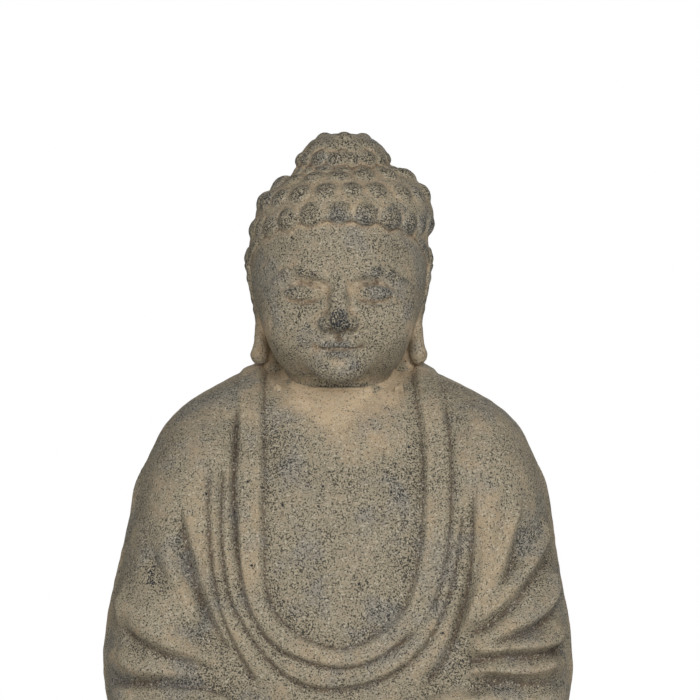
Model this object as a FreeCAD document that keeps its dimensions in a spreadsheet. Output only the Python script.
import FreeCAD, Part
import math
import os

# Seated meditating figure, hollow cast in a gritty stone mix.
# Frame: origin on the ground under the middle of the base, +Z up, the figure looks along -Y.
# The body is laid up in a front and a back shell, bedded together on a seam through the
# shoulders and hips. The head and the folded hands are castings of their own, pinned on.
# All lengths are millimetres.

doc = FreeCAD.newDocument("SeatedFigure")
sheet = doc.addObject("Spreadsheet::Sheet", "Dims")
V = FreeCAD.Vector
UP = V(0, 0, 1)

DIMENSIONS = {
    # castings
    "wall": 16.0,  # thickness of the cast body shells
    "hollow_back": 121.0,  # y of the flat inner face low in the back
    "head_wall": 14.0,
    "seam_plane": 40.0,  # y of the joint between front and back shell
    "bed": 3.0,  # thickness of every bonding mortar bed
    "reach": 700.0,  # half side of the boxes that cut pieces apart
    # base
    "pad_height": 2.0,
    "pad_radius": 7.0,
    "slab_top": 24.0,
    "slab_round": 5.0,
    "rim_width": 20.0,
    "recess_top": 13.0,
    "plate_thickness": 8.0,
    "plate_gap": 2.0,
    "boss_radius": 12.0,
    "boss_top": 50.0,
    # plate fixings
    "screw_radius": 2.25,
    "screw_head_radius": 4.8,
    "screw_head_height": 2.6,
    "screw_length": 33.0,
    "screw_hole_radius": 2.75,
    "wallplug_radius": 4.0,
    "wallplug_length": 30.0,
    # neck joint
    "neck_axis": 46.0,
    "neck_radius": 45.0,
    "neck_bore": 30.0,
    "neck_seat": 402.0,  # top of the body where the neck beds down
    "neck_top": 455.0,
    "neck_recess": 46.5,
    "core_bottom": 332.0,
    "core_top": 456.0,
    "dowel_radius": 6.0,
    "dowel_bottom": 338.0,
    "dowel_length": 112.0,
    # inner joint strip over the seam
    "strip_thickness": 5.0,
    "strip_width": 44.0,
    "strip_bottom": 34.0,
    "strip_inner_edge": 34.0,
    # bar cage
    "bar_radius": 4.0,
    "hoop_half_width": 130.0,
    "hoop_bottom": 30.0,
    "hoop_top": 366.0,
    "hoop_bend": 60.0,
    "crossbar_height": 66.0,
    "crossbar_length": 284.0,
    "bar_gap": 0.3,
    "tie_ring": 10.6,
    "tie_wire": 1.0,
    "dab_inset": 14.0,
    "dab_radius": 30.0,
    "dab_low": 130.0,
    "dab_high": 290.0,
    # hands
    "lap_seat_top": 92.0,
    "lap_seat_bottom": 62.0,
    "lap_seat_width": 64.0,
    "lap_seat_depth": 30.0,
    "hands_bed_width": 46.0,
    "hands_bed_depth": 22.0,
    "hand_line": -84.0,  # y of the middle of the folded hands
    "hand_sink": 5.0,  # how far the rounded backs are flattened against the bed
    "palm_thickness": 19.0,
    "palm_x": 33.0,
    "palm_half_length": 30.0,
    "palm_half_width": 27.0,
    "fingers_x": -2.0,  # middle of the fingers, across from their own palm
    "fingers_half_length": 44.0,
    "fingers_half_width": 25.0,
    "finger_radius": 7.5,
    "thumb_radius": 6.4,
    "thumb_rise": 30.0,
    "thumb_tip_x": 6.5,
    "thumb_tip_top": 152.0,
    "pin_radius": 3.0,
    "pin_length": 40.0,
    "pin_spacing": 26.0,
    "sleeve_gap": 0.4,
}

# Trunk with the robe round it: height, half width, half depth and y of the centre.
TRUNK = {
    "hip": (18, 150, 88, 52),
    "lap": (90, 168, 94, 44),
    "elbow": (180, 187, 98, 33),
    "waist": (250, 177, 95, 36),
    "chest": (320, 164, 84, 42),
    "armpit": (358, 151, 72, 47),
    "shoulder": (384, 131, 60, 49),
    "collar": (398, 110, 52, 49),
    "nape": (406, 84, 48, 48),
}

# Rounded masses of the body: centre, radii along x, y and z before turning, and turn about Z.
PAIRED = {
    "thigh": ((142, 0, 46), (126, 62, 60), -56),
    "shin": ((96, -98, 42), (116, 48, 46), 15),
    "forearm": ((110, -28, 146), (72, 44, 42), 40),
    "cuff": ((64, -64, 118), (34, 34, 30), 40),
}
MIDDLE = {
    "lap_cloth": ((0, -38, 45), (130, 84, 50), 0),
    "belly": ((0, 20, 165), (120, 82, 85), 0),
}
HEAD = {
    "skull": ((0, 33, 507), (73, 84, 77), 0),
    "jaw": ((0, 16, 461), (62, 65, 50), 0),
    "topknot": ((0, 43, 568), (47, 49, 42), 0),
    "crown_tier": ((0, 38, 560), (60, 64, 28), 0),
}
EARS = {
    "ear": ((71, 46, 478), (9, 18, 38), -12),
    "lobe": ((68, 40, 442), (8, 13, 26), -12),
}

# Corners of the base outline: centre and radius of each rounded corner, anticlockwise.
CORNERS = [(-165, -84, 72), (165, -84, 72), (85, 76, 80), (-85, 76, 80)]
# Screw bosses inside the body, and pads under the rim.
BOSSES = [(195, -86), (60, -124), (98, 103)]
PADS = [(196, -128), (30, -146), (124, 132)]


def fill_sheet():
    """Writes every driving dimension as a number in a cell with a name."""
    cells = dict(DIMENSIONS)
    for level, (height, width, depth, centre) in TRUNK.items():
        cells[level + "_height"] = height
        cells[level + "_width"] = width
        cells[level + "_depth"] = depth
        cells[level + "_middle"] = centre
    for group in (PAIRED, MIDDLE, HEAD, EARS):
        for name, (centre, radii, turn) in group.items():
            for axis, place, radius in zip("xyz", centre, radii):
                cells[f"{name}_at_{axis}"] = place
                cells[f"{name}_r_{axis}"] = radius
            cells[name + "_turn"] = turn
    for row, (name, value) in enumerate(cells.items(), start=1):
        sheet.set(f"A{row}", name)
        sheet.set(f"B{row}", str(value))
        sheet.setAlias(f"B{row}", name)
    doc.recompute()
    return cells


D = fill_sheet()


def add(kind, name, **expressions):
    """A document object whose properties follow the sheet. Double underscores stand for dots."""
    obj = doc.addObject(kind, name)
    for prop, formula in expressions.items():
        if formula:
            obj.setExpression(prop.replace("__", "."), formula)
    return obj


def place(obj, x="0", y="0", z="0"):
    """Binds an object's position to formulas over the sheet."""
    for axis, formula in zip("xyz", (x, y, z)):
        if formula != "0":
            obj.setExpression(f"Placement.Base.{axis}", formula)
    return obj


def join(name, shapes):
    obj = doc.addObject("Part::MultiFuse", name)
    obj.Shapes = shapes
    return obj


def cut(name, base, tool):
    obj = doc.addObject("Part::Cut", name)
    obj.Base, obj.Tool = base, tool
    return obj


def common(name, shapes):
    obj = doc.addObject("Part::MultiCommon", name)
    obj.Shapes = shapes
    return obj


def cylinder(name, radius, height, x="0", y="0", z="0"):
    obj = add("Part::Cylinder", name, Radius=radius, Height=height)
    return place(obj, x, y, z)


def ellipsoid(name, form, side=1, grow="0"):
    """One rounded mass of the figure. side -1 mirrors it to the other hand, grow offsets it."""
    obj = doc.addObject("Part::Ellipsoid", name)
    obj.Angle1, obj.Angle2, obj.Angle3 = -90, 90, 360
    obj.Placement.Rotation = FreeCAD.Rotation(UP, 1)
    for prop, axis in (("Radius1", "z"), ("Radius2", "x"), ("Radius3", "y")):
        obj.setExpression(prop, f"Dims.{form}_r_{axis} + {grow}")
    obj.setExpression("Placement.Rotation.Angle", f"{side} * Dims.{form}_turn")
    return place(
        obj, f"{side} * Dims.{form}_at_x", f"Dims.{form}_at_y", f"Dims.{form}_at_z"
    )


def trunk(name, shrink, drop):
    """Loft through ellipses from the hips to the nape. Its two end sections drop by drop."""
    sections = []
    for level in TRUNK:
        lower = drop if level in ("hip", "nape") else "0"
        ring = add(
            "Part::Ellipse",
            f"{name}_{level}",
            MajorRadius=f"Dims.{level}_width - {shrink}",
            MinorRadius=f"Dims.{level}_depth - {shrink}",
        )
        place(ring, "0", f"Dims.{level}_middle", f"Dims.{level}_height - {lower}")
        sections.append(ring)
    if drop != "0":
        # the collar ring would stand above the lowered nape ring
        sections.remove(doc.getObject(f"{name}_collar"))
    loft = doc.addObject("Part::Loft", name)
    loft.Sections, loft.Solid = sections, True
    return loft


def body_form(name, shrink):
    """The whole body mass, made smaller all round by shrink."""
    hollow = shrink != "0"
    pieces = [trunk(name + "_trunk", shrink, shrink if hollow else "0")]
    for form in PAIRED:
        if hollow and form == "cuff":
            continue  # the cuffs are solid
        for side, tag in ((-1, "left"), (1, "right")):
            pieces.append(ellipsoid(f"{name}_{form}_{tag}", form, side, f"-({shrink})"))
    for form in MIDDLE:
        pieces.append(ellipsoid(f"{name}_{form}", form, 1, f"-({shrink})"))
    return join(name, pieces)


def tangent_points(first, second, inset):
    """Ends of the outer tangent from one corner circle to the next, going anticlockwise."""
    (x1, y1, r1), (x2, y2, r2) = first, second
    dx, dy = x2 - x1, y2 - y1
    lean = math.asin((r1 - r2) / math.hypot(dx, dy))
    angle = math.atan2(dy, dx) - math.pi / 2 + lean
    way = V(math.cos(angle), math.sin(angle), 0)
    return V(x1, y1, 0) + way * (r1 - inset), V(x2, y2, 0) + way * (r2 - inset), way


def outline(inset):
    """Closed outline round the four corners, moved inwards by inset."""
    edges = []
    runs = [
        tangent_points(CORNERS[i], CORNERS[(i + 1) % len(CORNERS)], inset)
        for i in range(len(CORNERS))
    ]
    for i, (start, end, way) in enumerate(runs):
        edges.append(Part.LineSegment(start, end).toShape())
        x, y, radius = CORNERS[(i + 1) % len(CORNERS)]
        following = runs[(i + 1) % len(runs)]
        middle = V(x, y, 0) + (way + following[2]).normalize() * (radius - inset)
        edges.append(Part.Arc(end, middle, following[0]).toShape())
    return Part.Wire(edges)


def prism(name, inset, bottom, top):
    """A flat block with the base outline. The outline has no primitive, so it is a plain shape."""
    obj = doc.addObject("Part::Feature", name)
    shape = Part.Face(outline(inset)).extrude(V(0, 0, top - bottom))
    obj.Shape = shape
    obj.Placement = FreeCAD.Placement(V(0, 0, bottom), FreeCAD.Rotation())
    return obj


def both_sides(spots):
    return [(side * x, y) for x, y in spots for side in (-1, 1)]


def block(name, x0, x1, y0, y1, z0, z1):
    """A box between two corners, each given as a formula over the sheet."""
    obj = add(
        "Part::Box",
        name,
        Length=f"({x1}) - ({x0})",
        Width=f"({y1}) - ({y0})",
        Height=f"({z1}) - ({z0})",
    )
    return place(obj, f"{x0}", f"{y0}", f"{z0}")


FAR, NEAR = "Dims.reach", "-Dims.reach"
SEAM_FRONT = "Dims.seam_plane - Dims.bed / 2"
SEAM_BACK = "Dims.seam_plane + Dims.bed / 2"


# ---- body shells ---------------------------------------------------------------


def screw_spots(name, radius, height, z):
    """Equal round pegs at the six base fixings."""
    return join(
        name,
        [
            cylinder(f"{name}_{i}", radius, height, str(x), str(y), z)
            for i, (x, y) in enumerate(both_sides(BOSSES))
        ],
    )


def oval_pad(name, form, z0, z1):
    """Flat oval pad between two heights, under the hands."""
    obj = add(
        "Part::Ellipse",
        name + "_edge",
        MajorRadius=f"Dims.{form}_width",
        MinorRadius=f"Dims.{form}_depth",
    )
    place(obj, "0", "Dims.hand_line", z0)
    pad = doc.addObject("Part::Extrusion", name)
    pad.Base, pad.DirMode, pad.Solid = obj, "Custom", True
    pad.Dir = UP
    pad.setExpression("LengthFwd", f"({z1}) - ({z0})")
    return pad


def base_slab():
    """Low foot slab under the folded legs, with its top edge rounded over."""
    slab = prism("foot_slab", 0, D["pad_height"], D["slab_top"])
    rounded = doc.addObject("Part::Feature", "foot_slab_rounded")
    rim = [
        edge
        for edge in slab.Shape.Edges
        if edge.BoundBox.ZMin > D["slab_top"] - 0.01
    ]
    rounded.Shape = slab.Shape.makeFillet(D["slab_round"], rim)
    doc.removeObject(slab.Name)
    return rounded


lap_seat = oval_pad("lap_seat", "lap_seat", "Dims.lap_seat_bottom", "Dims.lap_seat_top")
outer = join("outer", [body_form("skin", "0"), base_slab(), lap_seat])
above_ground = block("above_ground", NEAR, FAR, NEAR, FAR, "Dims.pad_height", FAR)
solid_body = common("solid_body", [outer, above_ground])

hollow_form = body_form("hollow", "Dims.wall")
above_recess = block(
    "above_recess", NEAR, FAR, NEAR, "Dims.hollow_back", "Dims.recess_top", FAR
)
cavity = common("cavity", [hollow_form, above_recess])
plate_recess = prism("plate_recess", D["rim_width"], 0, D["recess_top"])
neck_hole = cylinder(
    "neck_hole", "Dims.neck_bore", "60", "0", "Dims.neck_axis", "Dims.neck_seat - 40"
)
neck_rebate = cylinder(
    "neck_rebate", "Dims.neck_recess", "40", "0", "Dims.neck_axis", "Dims.neck_seat"
)
emptied = cut("emptied", solid_body, join("room", [cavity, plate_recess, neck_hole, neck_rebate]))
bosses = common(
    "bosses",
    [
        screw_spots(
            "boss_pegs",
            "Dims.boss_radius",
            "Dims.boss_top - Dims.recess_top",
            "Dims.recess_top",
        ),
        solid_body,
    ],
)


def hand_pins(name):
    return join(
        name,
        [
            cylinder(
                f"{name}_{tag}",
                "Dims.pin_radius",
                "Dims.pin_length",
                f"{side} * Dims.pin_spacing",
                "Dims.hand_line",
                "Dims.lap_seat_top + Dims.bed - Dims.pin_length / 2",
            )
            for side, tag in ((-1, "left"), (1, "right"))
        ],
    )


body_holes = join(
    "body_holes",
    [
        screw_spots(
            "plug_holes", "Dims.wallplug_radius", "Dims.wallplug_length", "Dims.recess_top"
        ),
        hand_pins("pin_holes"),
    ],
)
casting = cut("casting", join("cast_with_bosses", [emptied, bosses]), body_holes)

front_shell = common(
    "front_shell",
    [casting, block("front_half", NEAR, FAR, NEAR, SEAM_FRONT, NEAR, FAR)],
)
back_shell = common(
    "back_shell",
    [casting, block("back_half", NEAR, FAR, SEAM_BACK, FAR, NEAR, FAR)],
)
seam_bed_left = common(
    "seam_bed_left",
    [casting, block("seam_left", NEAR, "0", SEAM_FRONT, SEAM_BACK, NEAR, FAR)],
)
seam_bed_right = common(
    "seam_bed_right",
    [casting, block("seam_right", "0", FAR, SEAM_FRONT, SEAM_BACK, NEAR, FAR)],
)

# ---- joint strips laid over the seam inside ------------------------------------

lining = body_form("lining", "(Dims.wall + Dims.strip_thickness)")
lining_layer = cut("lining_layer", cavity, lining)
strip_clear = join(
    "strip_clear",
    [
        cylinder(
            "strip_neck", "Dims.neck_bore + 2", "100", "0", "Dims.neck_axis", "Dims.core_bottom"
        ),
        bosses,
    ],
)
strip_stock = cut("strip_stock", lining_layer, strip_clear)
STRIP_FRONT = "Dims.seam_plane - Dims.strip_width / 2"
STRIP_BACK = "Dims.seam_plane + Dims.strip_width / 2"
joint_strip_left = common(
    "joint_strip_left",
    [
        strip_stock,
        block(
            "strip_left",
            NEAR,
            "-Dims.strip_inner_edge",
            STRIP_FRONT,
            STRIP_BACK,
            "Dims.strip_bottom",
            FAR,
        ),
    ],
)
joint_strip_right = common(
    "joint_strip_right",
    [
        strip_stock,
        block(
            "strip_right",
            "Dims.strip_inner_edge",
            FAR,
            STRIP_FRONT,
            STRIP_BACK,
            "Dims.strip_bottom",
            FAR,
        ),
    ],
)

# ---- bar cage -------------------------------------------------------------------

HOOP_PLANE = D["neck_axis"] + D["dowel_radius"] + D["bar_radius"] + D["bar_gap"]
CROSSBAR_PLANE = HOOP_PLANE - 2 * D["bar_radius"] - D["bar_gap"]


def hoop():
    """Round bar bent to an upturned U, standing in the seam plane from hip to shoulder."""
    half, bend = D["hoop_half_width"], D["hoop_bend"]
    low, high, y = D["hoop_bottom"], D["hoop_top"], HOOP_PLANE
    diagonal = bend * (1 - math.sqrt(0.5))
    path = Part.Wire(
        [
            Part.LineSegment(V(-half, y, low), V(-half, y, high - bend)).toShape(),
            Part.Arc(
                V(-half, y, high - bend),
                V(-half + diagonal, y, high - diagonal),
                V(-half + bend, y, high),
            ).toShape(),
            Part.LineSegment(V(-half + bend, y, high), V(half - bend, y, high)).toShape(),
            Part.Arc(
                V(half - bend, y, high),
                V(half - diagonal, y, high - diagonal),
                V(half, y, high - bend),
            ).toShape(),
            Part.LineSegment(V(half, y, high - bend), V(half, y, low)).toShape(),
        ]
    )
    section = Part.Wire(Part.makeCircle(D["bar_radius"], V(-half, y, low), UP))
    obj = doc.addObject("Part::Feature", "hoop_bar")
    obj.Shape = path.makePipeShell([section], True, False)
    return obj


hoop_bar = hoop()
cross_bar = cylinder("cross_bar", "Dims.bar_radius", "Dims.crossbar_length")
cross_bar.Placement.Rotation = FreeCAD.Rotation(V(0, 1, 0), 90)
place(cross_bar, "-Dims.crossbar_length / 2", str(CROSSBAR_PLANE), "Dims.crossbar_height")


def tie(name, side):
    """Wire loop twisted round the crossing of the hoop and the cross bar."""
    ring = add(
        "Part::Torus", name, Radius1="Dims.tie_ring", Radius2="Dims.tie_wire"
    )
    ring.Placement.Rotation = FreeCAD.Rotation(V(1, 0, 1), 90)
    middle = (HOOP_PLANE + CROSSBAR_PLANE) / 2
    return place(ring, f"{side} * Dims.hoop_half_width", str(middle), "Dims.crossbar_height")


tie_wires = join("tie_wires", [tie("tie_left", -1), tie("tie_right", 1)])
neck_dowel = cylinder(
    "neck_dowel",
    "Dims.dowel_radius",
    "Dims.dowel_length",
    "0",
    "Dims.neck_axis",
    "Dims.dowel_bottom",
)


def mortar_dab(name, side, level):
    ball = add("Part::Sphere", name, Radius="Dims.dab_radius")
    return place(
        ball,
        f"{side} * (Dims.hoop_half_width + Dims.dab_inset)",
        str(HOOP_PLANE),
        f"Dims.dab_{level}",
    )


dab_balls = join(
    "dab_balls",
    [
        mortar_dab(f"dab_{level}_{side + 1}", side, level)
        for level in ("low", "high")
        for side in (-1, 1)
    ],
)
bar_dabs = cut("bar_dabs", common("dab_stock", [dab_balls, lining]), hoop_bar)

# ---- neck cores and bed ---------------------------------------------------------

body_core = cut(
    "body_core",
    cylinder(
        "body_core_stock",
        "Dims.neck_bore",
        "Dims.neck_seat - Dims.core_bottom",
        "0",
        "Dims.neck_axis",
        "Dims.core_bottom",
    ),
    join("body_core_holes", [neck_dowel, hoop_bar]),
)
head_core = cut(
    "head_core",
    cylinder(
        "head_core_stock",
        "Dims.neck_bore",
        "Dims.core_top - Dims.neck_seat - Dims.bed",
        "0",
        "Dims.neck_axis",
        "Dims.neck_seat + Dims.bed",
    ),
    neck_dowel,
)
neck_bed = cut(
    "neck_bed",
    cylinder(
        "neck_bed_stock", "Dims.neck_radius", "Dims.bed", "0", "Dims.neck_axis", "Dims.neck_seat"
    ),
    neck_dowel,
)

# ---- head -----------------------------------------------------------------------


def head():
    """Head with ears and knot of hair, hollow from the neck up."""
    masses = [ellipsoid("head_" + form, form) for form in HEAD]
    for form in EARS:
        for side, tag in ((-1, "left"), (1, "right")):
            masses.append(ellipsoid(f"head_{form}_{tag}", form, side))
    neck = cylinder(
        "neck",
        "Dims.neck_radius",
        "Dims.neck_top - Dims.neck_seat - Dims.bed",
        "0",
        "Dims.neck_axis",
        "Dims.neck_seat + Dims.bed",
    )
    masses.append(neck)
    hollows = [
        ellipsoid("hollow_" + form, form, 1, "-(Dims.head_wall)") for form in ("skull", "jaw")
    ]
    # the crown is left thick where the knot of hair rises
    bore = cylinder(
        "neck_bore_tool",
        "Dims.neck_bore",
        "Dims.core_top - Dims.neck_seat",
        "0",
        "Dims.neck_axis",
        "Dims.neck_seat",
    )
    return cut("head_casting", join("head_mass", masses), join("head_room", hollows + [bore]))


head_casting = head()

# ---- hands ----------------------------------------------------------------------

HAND_TOP = D["lap_seat_top"] + D["bed"]


def capsule(start, end, radius):
    """A rounded finger piece between two points."""
    along = end - start
    rod = Part.makeCylinder(radius, along.Length, start, along)
    turned = FreeCAD.Rotation(UP, along)
    balls = []
    for centre in (start, end):
        ball = Part.makeSphere(radius)
        ball.Placement = FreeCAD.Placement(centre, turned)
        balls.append(ball)
    return rod.fuse(balls)


def rounded_mass(centre, radii):
    """An ellipsoid with level axes, as one smooth surface."""
    stretch = FreeCAD.Matrix()
    stretch.scale(*radii)
    mass = Part.makeSphere(1).transformGeometry(stretch)
    mass.translate(centre)
    return mass


def hand(side, floor):
    """One hand lying palm up, fingers across the lap. floor is the height of its back."""
    y, half = D["hand_line"], D["palm_thickness"] / 2
    middle = floor + half
    palm = rounded_mass(
        V(side * D["palm_x"], y, middle), (D["palm_half_length"], D["palm_half_width"], half)
    )
    fingers = rounded_mass(
        V(side * D["fingers_x"], y, middle - 1),
        (D["fingers_half_length"], D["fingers_half_width"], D["finger_radius"]),
    )
    edge = y - D["palm_half_width"]
    heel = V(side * (D["palm_x"] + 4), edge + 9, middle + 2)
    knuckle = V(side * 24, edge + 1, middle + D["thumb_rise"] * 0.6)
    tip = V(side * D["thumb_tip_x"], edge + 3, D["thumb_tip_top"] - D["thumb_radius"])
    lower = capsule(heel, knuckle, D["thumb_radius"])
    upper = capsule(knuckle, tip, D["thumb_radius"] * 0.94)
    return palm.fuse([fingers, lower, upper])


def hands():
    """Both hands in one casting, the right hand lying in the left, thumbs raised to meet."""
    floor = HAND_TOP - D["hand_sink"]
    lower = hand(1, floor)
    upper = hand(-1, floor + D["palm_thickness"] * 0.72)
    obj = doc.addObject("Part::Feature", "hands_mass")
    shape = lower.fuse(upper)
    keep = Part.makeBox(400, 400, 200, V(-200, -300, HAND_TOP))
    obj.Shape = shape.common(keep)
    clear = [
        ellipsoid(f"clear_{form}_{tag}", form, side, "Dims.sleeve_gap")
        for form in ("cuff", "forearm")
        for side, tag in ((-1, "left"), (1, "right"))
    ]
    clear += [ellipsoid(f"clear_{form}", form, 1, "Dims.sleeve_gap") for form in MIDDLE]
    clear.append(hand_pins("hand_pin_holes"))
    return cut("hands_casting", obj, join("hands_clear", clear))


hands_casting = hands()
hand_pin_pair = hand_pins("hand_pins")
bed_stock = oval_pad(
    "hands_bed_stock", "hands_bed", "Dims.lap_seat_top", "Dims.lap_seat_top + Dims.bed"
)
hands_bed = cut(
    "hands_bed",
    cut("hands_bed_clear", bed_stock, join("bed_tools", [solid_body, hand_pins("bed_holes")])),
    doc.getObject("hands_clear"),
)

# ---- closing plate and its fixings ----------------------------------------------

PLATE_BOTTOM = "Dims.recess_top - Dims.plate_thickness"
plate_stock = prism(
    "plate_stock",
    D["rim_width"] + D["plate_gap"],
    D["recess_top"] - D["plate_thickness"],
    D["recess_top"],
)


def countersink(name, x, y):
    cone = add(
        "Part::Cone",
        name,
        Radius1="Dims.screw_head_radius",
        Radius2="Dims.screw_radius",
        Height="Dims.screw_head_height",
    )
    return place(cone, str(x), str(y), PLATE_BOTTOM)


def screw_heads(name):
    return [
        countersink(f"{name}_{i}", x, y) for i, (x, y) in enumerate(both_sides(BOSSES))
    ]


base_plate = cut(
    "base_plate",
    plate_stock,
    join(
        "plate_holes",
        screw_heads("sink")
        + [
            screw_spots(
                "screw_holes",
                "Dims.screw_hole_radius",
                "Dims.plate_thickness",
                PLATE_BOTTOM,
            )
        ],
    ),
)
plate_screws = join(
    "plate_screws",
    screw_heads("head")
    + [screw_spots("shanks", "Dims.screw_radius", "Dims.screw_length", PLATE_BOTTOM)],
)
wall_plugs = cut(
    "wall_plugs",
    screw_spots(
        "plug_bodies", "Dims.wallplug_radius", "Dims.wallplug_length", "Dims.recess_top"
    ),
    screw_spots("plug_bores", "Dims.screw_radius", "Dims.screw_length", PLATE_BOTTOM),
)
plate_seal = cut(
    "plate_seal",
    prism(
        "seal_outer",
        D["rim_width"],
        D["recess_top"] - D["plate_thickness"] + 1,
        D["recess_top"],
    ),
    prism("seal_inner", D["rim_width"] + D["plate_gap"], 0, D["recess_top"] + 1),
)
foot_pads = join(
    "foot_pads",
    [
        cylinder(f"pad_{i}", "Dims.pad_radius", "Dims.pad_height", str(x), str(y))
        for i, (x, y) in enumerate(both_sides(PADS))
    ],
)

NODES = {
    "front_shell": front_shell,
    "back_shell": back_shell,
    "head_casting": head_casting,
    "hands_casting": hands_casting,
    "seam_bed_left": seam_bed_left,
    "seam_bed_right": seam_bed_right,
    "joint_strip_left": joint_strip_left,
    "joint_strip_right": joint_strip_right,
    "neck_bed": neck_bed,
    "neck_core_head": head_core,
    "neck_core_body": body_core,
    "neck_dowel": neck_dowel,
    "hoop_bar": hoop_bar,
    "cross_bar": cross_bar,
    "tie_wires": tie_wires,
    "bar_dabs": bar_dabs,
    "hands_bed": hands_bed,
    "hand_pins": hand_pin_pair,
    "base_plate": base_plate,
    "plate_seal": plate_seal,
    "plate_screws": plate_screws,
    "wall_plugs": wall_plugs,
    "foot_pads": foot_pads,
}


def write_parts():
    """Checks every object, then writes one STEP file a node."""
    doc.recompute()
    failed = [o.Name for o in doc.Objects if {"Invalid", "Error"} & set(o.State)]
    if failed:
        raise RuntimeError(f"objects that failed: {failed}")
    for label, obj in NODES.items():
        obj.Label = label
        if obj.Shape.isNull() or not obj.Shape.isValid() or not obj.Shape.Solids:
            raise RuntimeError(f"{label} has no valid solid")
    os.makedirs("parts", exist_ok=True)
    for label, obj in NODES.items():
        shape = obj.Shape
        print(f"{label:20s} solids {len(shape.Solids)}  {shape.Volume / 1000:9.2f} cm3")
        Part.makeCompound(shape.Solids).exportStep(f"parts/{label}.step")


write_parts()
